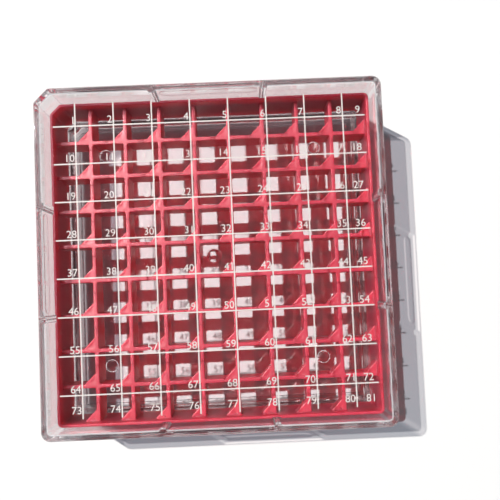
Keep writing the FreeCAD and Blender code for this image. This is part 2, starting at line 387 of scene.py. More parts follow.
def ramp(value: float, edge: float, width: float) -> float:
    """1 well below an edge, 0 well above it, with a straight ramp of the given width."""
    return min(1.0, max(0.0, (edge + width / 2 - value) / width))


# ---------------------------------------------------------------- node helpers


@dataclass
class NodeLine:
    """Adds nodes and links to a tree with little ceremony."""

    tree: bpy.types.NodeTree

    def add(self, kind: str, inputs: dict | None = None, **settings: object) -> bpy.types.Node:
        """A new node.

        Args:
            kind: the node's type name.
            inputs: values or sockets by input name or number.
            **settings: properties of the node, set before its inputs.

        Returns:
            The node.
        """
        node = self.tree.nodes.new(kind)
        for key, setting in settings.items():
            setattr(node, key, setting)
        for key, given in (inputs or {}).items():
            if isinstance(given, bpy.types.NodeSocket):
                self.tree.links.new(given, node.inputs[key])
            else:
                node.inputs[key].default_value = given
        return node

    def math(self, operation: str, *values: object) -> bpy.types.NodeSocket:
        """The result of a Math node on numbers or sockets."""
        node = self.add("ShaderNodeMath", dict(enumerate(values)), operation=operation)
        return node.outputs[0]

    def blend(self, share: bpy.types.NodeSocket, first: object, second: object) -> bpy.types.NodeSocket:
        """The colour between two colours or sockets, at a share of the second."""
        node = self.add("ShaderNodeMix", {"Factor": share, "A": first, "B": second}, data_type="RGBA")
        return node.outputs["Result"]


def new_group(
    name: str, inputs: dict[str, tuple[str, float]], outputs: dict[str, str]
) -> tuple[NodeLine, bpy.types.Node, bpy.types.Node]:
    """A shader node group with named sockets.

    Args:
        name: the group's name.
        inputs: socket type and starting value by name.
        outputs: socket type by name.

    Returns:
        The tree's node line, its input node and its output node.
    """
    tree = bpy.data.node_groups.new(name, "ShaderNodeTree")
    for label, (kind, start) in inputs.items():
        socket = tree.interface.new_socket(label, in_out="INPUT", socket_type=kind)
        socket.default_value = start
    for label, kind in outputs.items():
        tree.interface.new_socket(label, in_out="OUTPUT", socket_type=kind)
    line = NodeLine(tree)
    return line, line.add("NodeGroupInput"), line.add("NodeGroupOutput")


FLOAT = "NodeSocketFloat"


def moulded_surface_group() -> bpy.types.NodeTree:
    """Fine texture that a mould leaves: a height, a slow tone and a roughness change.

    Returns:
        The group's tree.
    """
    line, given, result = new_group(
        "moulded_surface",
        {"Grain Scale": (FLOAT, 900.0), "Flow Scale": (FLOAT, 40.0), "Flow Share": (FLOAT, 0.5)},
        {"Height": FLOAT, "Tone": FLOAT, "Roughness Change": FLOAT},
    )
    place = line.add("ShaderNodeTexCoord").outputs["Object"]
    grain = line.add(
        "ShaderNodeTexNoise",
        {"Vector": place, "Scale": given.outputs["Grain Scale"], "Detail": 3.0, "Roughness": 0.6},
    )
    flow = line.add(
        "ShaderNodeTexNoise",
        {"Vector": place, "Scale": given.outputs["Flow Scale"], "Detail": 4.0, "Distortion": 1.2},
    )
    share = given.outputs["Flow Share"]
    slow = line.math("MULTIPLY", flow.outputs["Fac"], share)
    rest = line.math("SUBTRACT", 1.0, share)
    fine = line.math("MULTIPLY", grain.outputs["Fac"], rest)
    height = line.math("ADD", slow, fine)
    line.tree.links.new(height, result.inputs["Height"])
    line.tree.links.new(flow.outputs["Fac"], result.inputs["Tone"])
    change = line.math("SUBTRACT", flow.outputs["Fac"], 0.5)
    line.tree.links.new(change, result.inputs["Roughness Change"])
    return line.tree


def scuff_group() -> bpy.types.NodeTree:
    """Hairline scratches from handling, in two crossing directions, patchy over the surface.

    Returns:
        The group's tree.
    """
    line, given, result = new_group(
        "handling_scuffs",
        {"Line Scale": (FLOAT, 260.0), "Patch Scale": (FLOAT, 14.0), "Amount": (FLOAT, 0.5)},
        {"Mask": FLOAT},
    )
    place = line.add("ShaderNodeTexCoord").outputs["Object"]
    masks = []
    for degrees, stretch in ((24.0, 0.03), (-52.0, 0.045)):
        turned = line.add(
            "ShaderNodeMapping",
            {"Vector": place, "Rotation": (0.0, 0.0, math.radians(degrees)), "Scale": (1.0, stretch, 1.0)},
        )
        noise = line.add(
            "ShaderNodeTexNoise",
            {"Vector": turned.outputs[0], "Scale": given.outputs["Line Scale"], "Detail": 2.0},
        )
        near = line.math("ABSOLUTE", line.math("SUBTRACT", noise.outputs["Fac"], 0.5))
        hair = line.math("SUBTRACT", 1.0, line.math("MULTIPLY", near, 60.0))
        masks.append(line.math("MAXIMUM", hair, 0.0))
    both = line.math("MAXIMUM", *masks)
    patch = line.add(
        "ShaderNodeTexNoise", {"Vector": place, "Scale": given.outputs["Patch Scale"], "Detail": 2.0}
    )
    where = line.math("SUBTRACT", patch.outputs["Fac"], 0.45)
    strong = line.math("MULTIPLY", line.math("MAXIMUM", where, 0.0), 5.0)
    mask = line.math("MULTIPLY", line.math("MULTIPLY", both, strong), given.outputs["Amount"])
    line.tree.links.new(line.math("MINIMUM", mask, 1.0), result.inputs["Mask"])
    return line.tree


# ---------------------------------------------------------------- finishes


Colour = tuple[float, float, float, float]

POLYCARBONATE_IOR = 1.585


@dataclass(frozen=True)
class SharedEffects:
    """Node groups that several finishes place with their own values."""

    moulded: bpy.types.NodeTree
    scuffs: bpy.types.NodeTree


@dataclass(frozen=True)
class MouldTexture:
    """The values that a finish gives to the shared mould texture and to its bump.

    Args:
        grain_scale: scale of the fine grain.
        flow_scale: scale of the slow flow marks.
        flow_share: share of the flow marks in the height.
        strength: strength of the bump.
        distance: height of the bump.
    """

    grain_scale: float
    flow_scale: float
    flow_share: float
    strength: float
    distance: float

    def skin(self, line: NodeLine, group: bpy.types.NodeTree) -> bpy.types.Node:
        """Places the shared mould texture in a material.

        Args:
            line: the material's node line.
            group: the shared group.

        Returns:
            The group node.
        """
        return line.add(
            "ShaderNodeGroup",
            {"Grain Scale": self.grain_scale, "Flow Scale": self.flow_scale, "Flow Share": self.flow_share},
            node_tree=group,
        )

    def normal(self, line: NodeLine, height: bpy.types.NodeSocket) -> bpy.types.NodeSocket:
        """The normal that a height gives."""
        given = {"Strength": self.strength, "Distance": self.distance, "Height": height}
        return line.add("ShaderNodeBump", given).outputs[0]


def fresh_material(name: str) -> tuple[bpy.types.Material, NodeLine]:
    """An empty node material.

    Args:
        name: the material's name.

    Returns:
        The material and its node line.
    """
    material = bpy.data.materials.new(name)
    material.use_nodes = True
    material.node_tree.nodes.clear()
    return material, NodeLine(material.node_tree)


@dataclass(frozen=True)
class ClearPlastic:
    """Clear polished polycarbonate with faint handling scuffs.

    Args:
        name: the material's name.
        tint: colour that the plastic gives to what is behind it.
        roughness: roughness of the polished skin.
        scuffs: strength of the hairline scratches.
        scuff_roughness: roughness that a scratch adds.
        scuff_depth: how far a scratch lowers the bump's height.
        face_shade: colour that a skin passes when light meets it square on.
        side_shade: colour that a skin passes when light glances along it.
        square_on: Facing value up to which light counts as square on.
        glancing: Facing value from which light counts as glancing.
        texture: its mould texture.
    """

    name: str
    tint: Colour = (0.985, 0.975, 0.98, 1.0)
    roughness: float = 0.02
    scuffs: float = 0.5
    scuff_roughness: float = 0.25
    scuff_depth: float = 0.15
    face_shade: Colour = (0.98, 0.9653, 0.9702, 1.0)
    side_shade: Colour = (0.40, 0.42, 0.46, 1.0)
    square_on: float = 0.25
    glancing: float = 0.75
    texture: MouldTexture = MouldTexture(420.0, 22.0, 0.9, strength=0.10, distance=0.0006)

    def build(self, effects: SharedEffects) -> bpy.types.Material:
        """The finished material.

        Args:
            effects: the shared node groups.

        Returns:
            The material.
        """
        material, line = fresh_material(self.name)
        scuff = line.add("ShaderNodeGroup", {"Amount": self.scuffs}, node_tree=effects.scuffs)
        skin = self.texture.skin(line, effects.moulded)
        mask = scuff.outputs["Mask"]
        height = line.math("MULTIPLY_ADD", mask, -self.scuff_depth, skin.outputs["Height"])
        shader = line.add(
            "ShaderNodeBsdfPrincipled",
            {
                "Base Color": self.tint,
                "Roughness": line.math("MULTIPLY_ADD", mask, self.scuff_roughness, self.roughness),
                "Normal": self.texture.normal(line, height),
                "Transmission Weight": 1.0,
                "IOR": POLYCARBONATE_IOR,
            },
        )
        path = line.add("ShaderNodeLightPath")
        lighting = line.math("MAXIMUM", path.outputs["Is Shadow Ray"], path.outputs["Is Diffuse Ray"])
        mix = line.add(
            "ShaderNodeMixShader", {0: lighting, 1: shader.outputs[0], 2: self._passing(line)}
        )
        line.add("ShaderNodeOutputMaterial", {"Surface": mix.outputs[0]})
        return material

    def _passing(self, line: NodeLine) -> bpy.types.NodeSocket:
        """The skin as light that only lights something passes it, dimmed where it glances along.

        Args:
            line: the material's node line.

        Returns:
            The shader's socket.
        """
        facing = line.add("ShaderNodeLayerWeight", {"Blend": 0.5}).outputs["Facing"]
        share = line.add(
            "ShaderNodeMapRange", {"Value": facing, "From Min": self.square_on, "From Max": self.glancing}
        )
        shade = line.blend(share.outputs[0], self.face_shade, self.side_shade)
        return line.add("ShaderNodeBsdfTransparent", {"Color": shade}).outputs[0]


@dataclass(frozen=True)
class RedPlastic:
    """Red polycarbonate moulded in colour: semi-gloss, and it lets some red light through.

    Args:
        name: the material's name.
        deep: colour of the body of the plastic.
        pale: colour of the slow streaks in it.
        worn: colour of the plastic under a scratch.
        scuffs: strength of the hairline scratches.
        scuff_cover: how much of the colour a scratch hides.
        roughness: roughness of the moulded skin.
        roughness_change: how much the roughness varies over the skin.
        specular: strength of its reflections.
        glow: weight of light carried inside the plastic.
        glow_reach: how far red, green and blue light travel, as shares of glow_scale.
        glow_scale: distance that light travels inside.
        passing: light that gets through one skin of a wall into its shadow.
        texture: its mould texture.
    """

    name: str
    deep: Colour = (0.57, 0.026, 0.062, 1.0)
    pale: Colour = (0.65, 0.040, 0.086, 1.0)
    worn: Colour = (0.85, 0.35, 0.40, 1.0)
    scuffs: float = 0.35
    scuff_cover: float = 0.25
    roughness: float = 0.42
    roughness_change: float = 0.25
    specular: float = 0.3
    glow: float = 0.8
    glow_reach: tuple[float, float, float] = (1.0, 0.18, 0.22)
    glow_scale: float = 5.0 * MM
    passing: Colour = (0.46, 0.035, 0.055, 1.0)
    texture: MouldTexture = MouldTexture(1500.0, 60.0, 0.35, strength=0.25, distance=0.0002)

    def build(self, effects: SharedEffects) -> bpy.types.Material:
        """The finished material.

        Args:
            effects: the shared node groups.

        Returns:
            The material.
        """
        material, line = fresh_material(self.name)
        skin = self.texture.skin(line, effects.moulded)
        scuff = line.add("ShaderNodeGroup", {"Amount": self.scuffs}, node_tree=effects.scuffs)
        cover = line.math("MULTIPLY", scuff.outputs["Mask"], self.scuff_cover)
        streaks = line.blend(skin.outputs["Tone"], self.deep, self.pale)
        change = skin.outputs["Roughness Change"]
        shader = line.add(
            "ShaderNodeBsdfPrincipled",
            {
                "Base Color": line.blend(cover, streaks, self.worn),
                "Roughness": line.math("MULTIPLY_ADD", change, self.roughness_change, self.roughness),
                "Normal": self.texture.normal(line, skin.outputs["Height"]),
                "IOR": POLYCARBONATE_IOR,
                "Specular IOR Level": self.specular,
                "Subsurface Weight": self.glow,
                "Subsurface Radius": self.glow_reach,
                "Subsurface Scale": self.glow_scale,
            },
        )
        through = line.add("ShaderNodeBsdfTransparent", {"Color": self.passing})
        path = line.add("ShaderNodeLightPath")
        mix = line.add(
            "ShaderNodeMixShader",
            {0: path.outputs["Is Shadow Ray"], 1: shader.outputs[0], 2: through.outputs[0]},
        )
        line.add("ShaderNodeOutputMaterial", {"Surface": mix.outputs[0]})
        return material


@dataclass(frozen=True)
class ScreenInk:
    """White screen-printed ink with a faint mesh grain and small density changes.

    Args:
        name: the material's name.
        dense: colour where the ink lies thick.
        thin: colour where it lies thin.
        roughness: roughness of the dry ink.
        roughness_change: how much the roughness varies.
        texture: its grain.
    """

    name: str
    dense: Colour = (0.66, 0.635, 0.605, 1.0)
    thin: Colour = (0.54, 0.50, 0.49, 1.0)
    roughness: float = 0.55
    roughness_change: float = 0.2
    texture: MouldTexture = MouldTexture(6000.0, 300.0, 0.5, strength=0.3, distance=0.00003)

    def build(self, effects: SharedEffects) -> bpy.types.Material:
        """The finished material.

        Args:
            effects: the shared node groups.

        Returns:
            The material.
        """
        material, line = fresh_material(self.name)
        skin = self.texture.skin(line, effects.moulded)
        change = skin.outputs["Roughness Change"]
        shader = line.add(
            "ShaderNodeBsdfPrincipled",
            {
                "Base Color": line.blend(skin.outputs["Tone"], self.dense, self.thin),
                "Roughness": line.math("MULTIPLY_ADD", change, self.roughness_change, self.roughness),
                "Normal": self.texture.normal(line, skin.outputs["Height"]),
            },
        )
        line.add("ShaderNodeOutputMaterial", {"Surface": shader.outputs[0]})
        return material


@dataclass(frozen=True)
class BenchTop:
    """Pale matt floor of the studio."""

    name: str = "pale_bench"
    colour: Colour = (0.78, 0.78, 0.785, 1.0)
    roughness: float = 0.85

    def build(self) -> bpy.types.Material:
        """The finished material.

        Returns:
            The material.
        """
        material, line = fresh_material(self.name)
        given = {"Base Color": self.colour, "Roughness": self.roughness}
        shader = line.add("ShaderNodeBsdfPrincipled", given)
        line.add("ShaderNodeOutputMaterial", {"Surface": shader.outputs[0]})
        return material


def dress(obj: bpy.types.Object, material: bpy.types.Material) -> None:
    """Gives the whole object one material."""
    obj.data.materials.clear()
    obj.data.materials.append(material)


def settle(obj: bpy.types.Object, body: Body, slot: Slot, *nodes: str) -> None:
    """Makes a piece ride on a body and stand for CAD nodes.

    Args:
        obj: the piece.
        body: the body that it rides on.
        slot: the record's material slot; not used.
        *nodes: the CAD nodes that it replaces, if any.
    """
    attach(obj, body.value)
    if nodes:
        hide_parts(*nodes)
    LOG.info("%s: %d faces on %s", obj.name, len(obj.data.polygons), body.value)


# ---------------------------------------------------------------- sub-assemblies


def box_outline(node: str, key: float = 5.4 * MM, radius: float = 3.5 * MM) -> KeyedOutline:
    """The outer outline of the box, sized by a CAD node."""
    low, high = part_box(node)
    return KeyedOutline((high.x - low.x) / 2, key, radius)


def still(_station: Station, _half: float, _height: float) -> float:
    """No movement out of the wall."""
    return 0.0


@dataclass
class BaseTray:
    """Clear tray: foot rim, stepped wall, ledge for the insert, clear floor.

    Args:
        foot_half: half the size of the lower body.
        foot_opening_half: half the size of the recess under the floor.
        cavity_half: half the inner size below the ledge.
        cavity_draft: how far the inner walls lean in at the floor.
        cavity_fillet: rounding between the inner walls and the floor.
        flat_inset: how far in from the inner walls the floor's outline ends.
        socket_half: half the inner size above the ledge.
        floor_bottom: height of the floor's underside.
        floor_top: height of the floor's top.
        band_bottom: height where the wide band starts.
        ledge: height of the ledge under the insert.
        mark: place along each side, from its middle, that gets a point of its own.
    """

    foot_half: float = 65.3 * MM
    foot_opening_half: float = 61.0 * MM
    cavity_half: float = 62.8 * MM
    cavity_draft: float = 1.5 * MM
    cavity_fillet: float = 2.5 * MM
    flat_inset: float = 5.0 * MM
    mark: float = 50.0 * MM
    socket_half: float = 64.2 * MM
    floor_bottom: float = 1.0 * MM
    floor_top: float = 3.0 * MM
    band_bottom: float = 12.0 * MM
    ledge: float = 13.0 * MM

    def build(self, material: bpy.types.Material) -> bpy.types.Object:
        """The tray as one moulded mesh.

        Args:
            material: its finish.

        Returns:
            The piece.
        """
        outline = box_outline("base_tray")
        low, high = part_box("base_tray")
        corners = [
            Corner(self.foot_opening_half, self.floor_bottom),
            Corner(self.foot_opening_half, low.z, 0.3 * MM),
            Corner(self.foot_half, low.z, 0.8 * MM),
            Corner(self.foot_half, self.band_bottom, 0.4 * MM),
            Corner(outline.half, self.band_bottom, 0.5 * MM),
            Corner(outline.half, high.z, 0.25 * MM),
            Corner(self.socket_half, high.z, 0.4 * MM),
            Corner(self.socket_half, self.ledge, 0.3 * MM),
            Corner(self.cavity_half, self.ledge, 0.3 * MM),
            Corner(self.cavity_half - self.cavity_draft, self.floor_top, self.cavity_fillet),
            Corner(self.cavity_half - self.flat_inset, self.floor_top),
        ]
        profile = rounded_profile(corners, closed=False)
        skin = RingMesh().sweep(outline, profile, (-self.mark, 0.0, self.mark), still)
        tray = mesh_object("base_tray_moulding", skin.to_bmesh(closed=False, caps=True))
        smooth(tray)
        dress(tray, material)
        settle(tray, Body.BASE, Slot.CLEAR, "base_tray")
        return tray


@dataclass
class DividerInsert:
    """Red moulding: a grooved and beaded frame round nine by nine open cells with gussets.

    Args:
        pitch: distance between cell centres.
        wall: thickness of the walls at their tops.
        draft: how much thinner each side of a wall is at its foot.
        gusset: length of a gusset's legs.
        gusset_bottom: height of a gusset's underside.
        gusset_border: width of the flat border round a gusset's sunk field.
        gusset_sink: depth of the sunk field.
        corner_radius: rounding of a cell's upright corners.
        fillet: rounding of the walls' top edges.
        frame_wall: thickness of the outer frame.
        frame_radius: corner radius of the frame's full outline.
        groove_offset: distance of a guide groove from the middle of its side.
        groove_width: width of a guide groove.
        groove_depth: depth of a guide groove.
        groove_bottom: height where the guide grooves start.
        bead_offset: distance of a friction bead from the middle of its side.
        bead_length: length of a friction bead.
        bead_proud: how far a friction bead stands out.
    """

    pitch: float = 14.0 * MM
    wall: float = 1.5 * MM
    draft: float = 0.07 * MM
    gusset: float = 4.4 * MM
    gusset_bottom: float = 26.0 * MM
    gusset_border: float = 0.35 * MM
    gusset_sink: float = 0.12 * MM
    corner_radius: float = 0.7 * MM
    fillet: float = 0.25 * MM
    frame_wall: float = 1.2 * MM
    frame_radius: float = 4.5 * MM
    groove_offset: float = 21.5 * MM
    groove_width: float = 3.6 * MM
    groove_depth: float = 0.5 * MM
    groove_bottom: float = 22.0 * MM
    bead_offset: float = 40.0 * MM
    bead_length: float = 13.0 * MM
    bead_proud: float = 0.4 * MM

    def build(self, material: bpy.types.Material) -> bpy.types.Object:
        """The insert as one mesh that stands for every node of its body.

        Args:
            material: its finish.

        Returns:
            The piece.
        """
        grid = self._cell_grid(material)
        ring = self._frame_ring()
        bm = bmesh.new()
        bm.from_mesh(grid.data)
        bm.from_mesh(ring.data)
        for used in (grid, ring):
            bpy.data.objects.remove(used)
        insert = mesh_object("divider_insert_moulding", bm, outward=False)
        smooth(insert)
        dress(insert, material)
        members = frame["record"]["behaviour"]["bodies"][Body.INSERT.value]
        settle(insert, Body.INSERT, Slot.RED, *members)
        return insert

    def _frame_ring(self) -> bpy.types.Object:
        """The outer frame, with guide grooves and friction beads on every side.

        Returns:
            The frame as a mesh object.
        """
        low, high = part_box("insert_frame")
        half = high.x
        inner = half - self.frame_wall
        outline = box_outline("lid", radius=self.frame_radius)
        bead_low, bead_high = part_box("friction_beads")
        corners = [
            Corner(inner, high.z, 0.35 * MM),
            Corner(inner, low.z, 0.3 * MM),
            Corner(half, low.z, 0.3 * MM),
            Corner(half, self.groove_bottom - 0.2 * MM),
            Corner(half, self.groove_bottom + 0.2 * MM),
            Corner(half, bead_low.z - 0.2 * MM),
            Corner(half, bead_low.z + 0.3 * MM),
            Corner(half, bead_high.z - 0.3 * MM),
            Corner(half, bead_high.z + 0.2 * MM),
            Corner(half, high.z, 0.35 * MM),
        ]
        profile = rounded_profile(corners, closed=True)
        middle = (inner + half) / 2

        def shape(station: Station, at: float, height: float) -> float:
            """Grooves and beads of the outer skin."""
            if not station.straight or at < middle:
                return 0.0
            along = abs(station.along)
            groove = ramp(abs(along - self.groove_offset), self.groove_width / 2 - 0.2 * MM, 0.4 * MM)
            bead = ramp(abs(along - self.bead_offset), self.bead_length / 2 - 0.4 * MM, 0.8 * MM)
            in_groove = 1.0 - ramp(height, self.groove_bottom, 0.3 * MM)
            bead_middle = (bead_low.z + bead_high.z) / 2
            bead_reach = (bead_high.z - bead_low.z) / 2
            in_bead = ramp(abs(height - bead_middle), bead_reach, 0.4 * MM)
            return self.bead_proud * bead * in_bead - self.groove_depth * groove * in_groove

        marks = [0.0]
        for offset, reach in (
            (self.groove_offset, self.groove_width / 2),
            (self.bead_offset, self.bead_length / 2),
        ):
            soft = 0.4 * MM if reach < 3 * MM else 0.8 * MM
            for side in (-1, 1):
                for step in (-reach, -reach + soft, reach - soft, reach):
                    marks.append(side * (offset + step))
        skin = RingMesh().sweep(outline, profile, marks, shape)
        return mesh_object("frame_ring", skin.to_bmesh(closed=True, caps=False))

    def _cell_tile(self, across: int, back: int) -> bpy.types.Object:
        """One cell with half of each wall round it, open where the next cell joins.

        Args:
            across: 0 in the first column, 2 in the last, 1 between.
            back: 0 in the front row, 2 in the back row, 1 between.

        Returns:
            The tile, centred on its cell in plan and at its real height.
        """
        low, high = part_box("row_wall_1")
        edge = self.pitch / 2
        in_frame = 0.05 * MM
        halves = {
            "left": in_frame if across == 0 else self.wall / 2,
            "right": in_frame if across == 2 else self.wall / 2,
            "front": in_frame if back == 0 else self.wall / 2,
            "back": in_frame if back == 2 else self.wall / 2,
        }
        has_gusset = not (across == 2 and back == 0)
        leg = self.gusset + (self.wall / 4 if across == 2 or back == 0 else 0.0)

        def outline(grow: float, gusset: bool) -> list[Point]:
            """The cell's opening, grown into the walls, five points a corner."""
            left, front = -edge + halves["left"] - grow, -edge + halves["front"] - grow
            right, rear = edge - halves["right"] + grow, edge - halves["back"] + grow
            radius = self.corner_radius
            points: list[Point] = []
            for quarter, (x, y) in enumerate(((left, front), (right, front), (right, rear), (left, rear))):
                if quarter == 1 and has_gusset:
                    legs = [(x - leg, y), (x - leg / 2, y), (x, y), (x, y + leg / 2), (x, y + leg)]
                    if gusset:
                        start_x, start_y = legs[0]
                        slope = [(start_x + leg * part, start_y + leg * part) for part in (0.2, 0.5, 0.8)]
                        legs[1:4] = slope
                    points += legs
                    continue
                centre_x = x + math.copysign(radius, -x)
                centre_y = y + math.copysign(radius, -y)
                for step in range(CORNER_POINTS):
                    angle = math.pi + quarter * math.pi / 2 + math.pi / 2 * step / (CORNER_POINTS - 1)
                    points.append((centre_x + radius * math.cos(angle), centre_y + radius * math.sin(angle)))
            return points

        def border() -> list[Point]:
            """The tile's square edge, five points a corner, the same on every tile."""
            near = edge - 3.0 * MM
            nearer = edge - 1.5 * MM
            corner = [(-edge, -near), (-edge, -nearer), (-edge, -edge), (-nearer, -edge), (-near, -edge)]
            points: list[Point] = []
            for quarter in range(4):
                c, s = round(math.cos(quarter * math.pi / 2)), round(math.sin(quarter * math.pi / 2))
                points += [(c * x - s * y, s * x + c * y) for x, y in corner]
            return points

        square = border()
        mesh = RingMesh()
        mesh.rings.append([(x, y, high.z) for x, y in square])
        mesh.rings.append([(x, y, high.z) for x, y in outline(self.fillet, False)])
        for step in range(4):
            angle = math.pi / 2 * step / 3
            grown = outline(self.fillet * (1 - math.sin(angle)), has_gusset)
            mesh.rings.append([(x, y, high.z - self.fillet * (1 - math.cos(angle))) for x, y in grown])
        mesh.rings.append([(x, y, self.gusset_bottom) for x, y in outline(0.0, has_gusset)])
        mesh.rings.append([(x, y, self.gusset_bottom) for x, y in outline(0.0, False)])
        mesh.rings.append([(x, y, low.z + self.fillet) for x, y in outline(self.draft, False)])
        mesh.rings.append([(x, y, low.z) for x, y in outline(self.draft + self.fillet, False)])
        mesh.rings.append([(x, y, low.z) for x, y in square])
        bm = mesh.to_bmesh(closed=False, caps=False)
        bmesh.ops.remove_doubles(bm, verts=bm.verts, dist=1e-7)
        bmesh.ops.reverse_faces(bm, faces=bm.faces)
        if has_gusset:
            gusset_corner = outline(self.fillet, False)[CORNER_POINTS + CORNER_POINTS // 2]
            self._sink_gusset(bm, gusset_corner, leg, high.z)
        return mesh_object(f"cell_tile_{back * 3 + across}", bm, outward=False)

    def _sink_gusset(self, bm: bmesh.types.BMesh, corner: Point, leg: float, level: float) -> None:
        """Sinks the middle of a gusset's top a little inside its border.

        Args:
            bm: the tile.
            corner: the corner that the gusset fills.
            leg: length of its legs.
            level: height of its top.
        """
        tops = []
        for face in bm.faces:
            middle = face.calc_center_median()
            across, back = corner[0] - middle.x, middle.y - corner[1]
            if abs(middle.z - level) < 1e-6 and min(across, back) > 1e-5 and across + back < leg:
                tops.append(face)
        joined = bmesh.ops.dissolve_faces(bm, faces=tops)["region"][0]
        brink = list(joined.verts)
        bm.faces.remove(joined)
        reach = leg * (1 - math.sqrt(0.5))
        centre = Vector((corner[0] - reach, corner[1] + reach, 0.0))
        previous = brink
        for share, sink in ((1 - self.gusset_border / reach, 0.0), (0.5, self.gusset_sink)):
            ring = []
            for vertex in brink:
                spot = centre.lerp(Vector((vertex.co.x, vertex.co.y, 0.0)), share)
                ring.append(bm.verts.new((spot.x, spot.y, level - sink)))
            for index, vertex in enumerate(previous):
                after = (index + 1) % len(previous)
                bm.faces.new((vertex, previous[after], ring[after], ring[index]))
            previous = ring
        bm.faces.new(previous)

    def _cell_grid(self, material: bpy.types.Material) -> bpy.types.Object:
        """Nine by nine cells from nine kinds of tile, placed by Geometry Nodes.

        Args:
            material: the finish that the nodes set.

        Returns:
            A plain mesh object.
        """
        tiles = bpy.data.collections.new("cell_tiles")
        for back in range(3):
            for across in range(3):
                tile = self._cell_tile(across, back)
                bpy.context.scene.collection.objects.unlink(tile)
                tiles.objects.link(tile)
        holder = mesh_object("cell_grid", bmesh.new(), outward=False)
        modifier = holder.modifiers.new("cells", "NODES")
        modifier.node_group = cell_grid_tree(material)
        wanted = {"Cells": CELLS_PER_SIDE, "Pitch": self.pitch, "Tiles": tiles}
        for item in modifier.node_group.interface.items_tree:
            if item.in_out == "INPUT" and item.name in wanted:
                modifier[item.identifier] = wanted[item.name]
        apply_modifiers(holder)
        for tile in list(tiles.objects):
            bpy.data.objects.remove(tile)
        bpy.data.collections.remove(tiles)
        return holder


def cell_grid_tree(material: bpy.types.Material) -> bpy.types.NodeTree:
    """Geometry nodes that lay out a square grid of cells and pick the tile for each place.

    Args:
        material: the finish of the result.

    Returns:
        The node tree, with inputs Cells, Pitch and Tiles.
    """
    tree = bpy.data.node_groups.new("cell_grid", "GeometryNodeTree")
    sockets = tree.interface
    sockets.new_socket("Cells", in_out="INPUT", socket_type="NodeSocketInt")
    sockets.new_socket("Pitch", in_out="INPUT", socket_type="NodeSocketFloat")
    sockets.new_socket("Tiles", in_out="INPUT", socket_type="NodeSocketCollection")
    sockets.new_socket("Geometry", in_out="OUTPUT", socket_type="NodeSocketGeometry")
    line = NodeLine(tree)
    given = line.add("NodeGroupInput")
    cells, pitch = given.outputs["Cells"], given.outputs["Pitch"]
    gaps = line.math("SUBTRACT", cells, 1.0)
    span = line.math("MULTIPLY", gaps, pitch)
    grid = line.add(
        "GeometryNodeMeshGrid",
        {"Size X": span, "Size Y": span, "Vertices X": cells, "Vertices Y": cells},
    )
    place = line.add("GeometryNodeInputPosition")
    split = line.add("ShaderNodeSeparateXYZ", {0: place.outputs[0]})
    brink = line.math("MULTIPLY", line.math("SUBTRACT", gaps, 1.0), line.math("MULTIPLY", pitch, 0.5))
    kinds = []
    for axis in ("X", "Y"):
        past_first = line.math("GREATER_THAN", split.outputs[axis], line.math("MULTIPLY", brink, -1.0))
        past_last = line.math("GREATER_THAN", split.outputs[axis], brink)
        kinds.append(line.math("ADD", past_first, past_last))
    index = line.math("ROUND", line.math("MULTIPLY_ADD", kinds[1], 3.0, kinds[0]))
    source = line.add(
        "GeometryNodeCollectionInfo",
        {"Collection": given.outputs["Tiles"], "Separate Children": True, "Reset Children": True},
    )
    placed = line.add(
        "GeometryNodeInstanceOnPoints",
        {
            "Points": grid.outputs["Mesh"],
            "Instance": source.outputs[0],
            "Pick Instance": True,
            "Instance Index": index,
        },
    )
    real = line.add("GeometryNodeRealizeInstances", {0: placed.outputs[0]})
    merged = line.add("GeometryNodeMergeByDistance", {"Geometry": real.outputs[0], "Distance": 5e-6})
    finished = line.add("GeometryNodeSetMaterial", {"Geometry": merged.outputs[0], "Material": material})
    line.add("NodeGroupOutput", {"Geometry": finished.outputs[0]})
    return tree


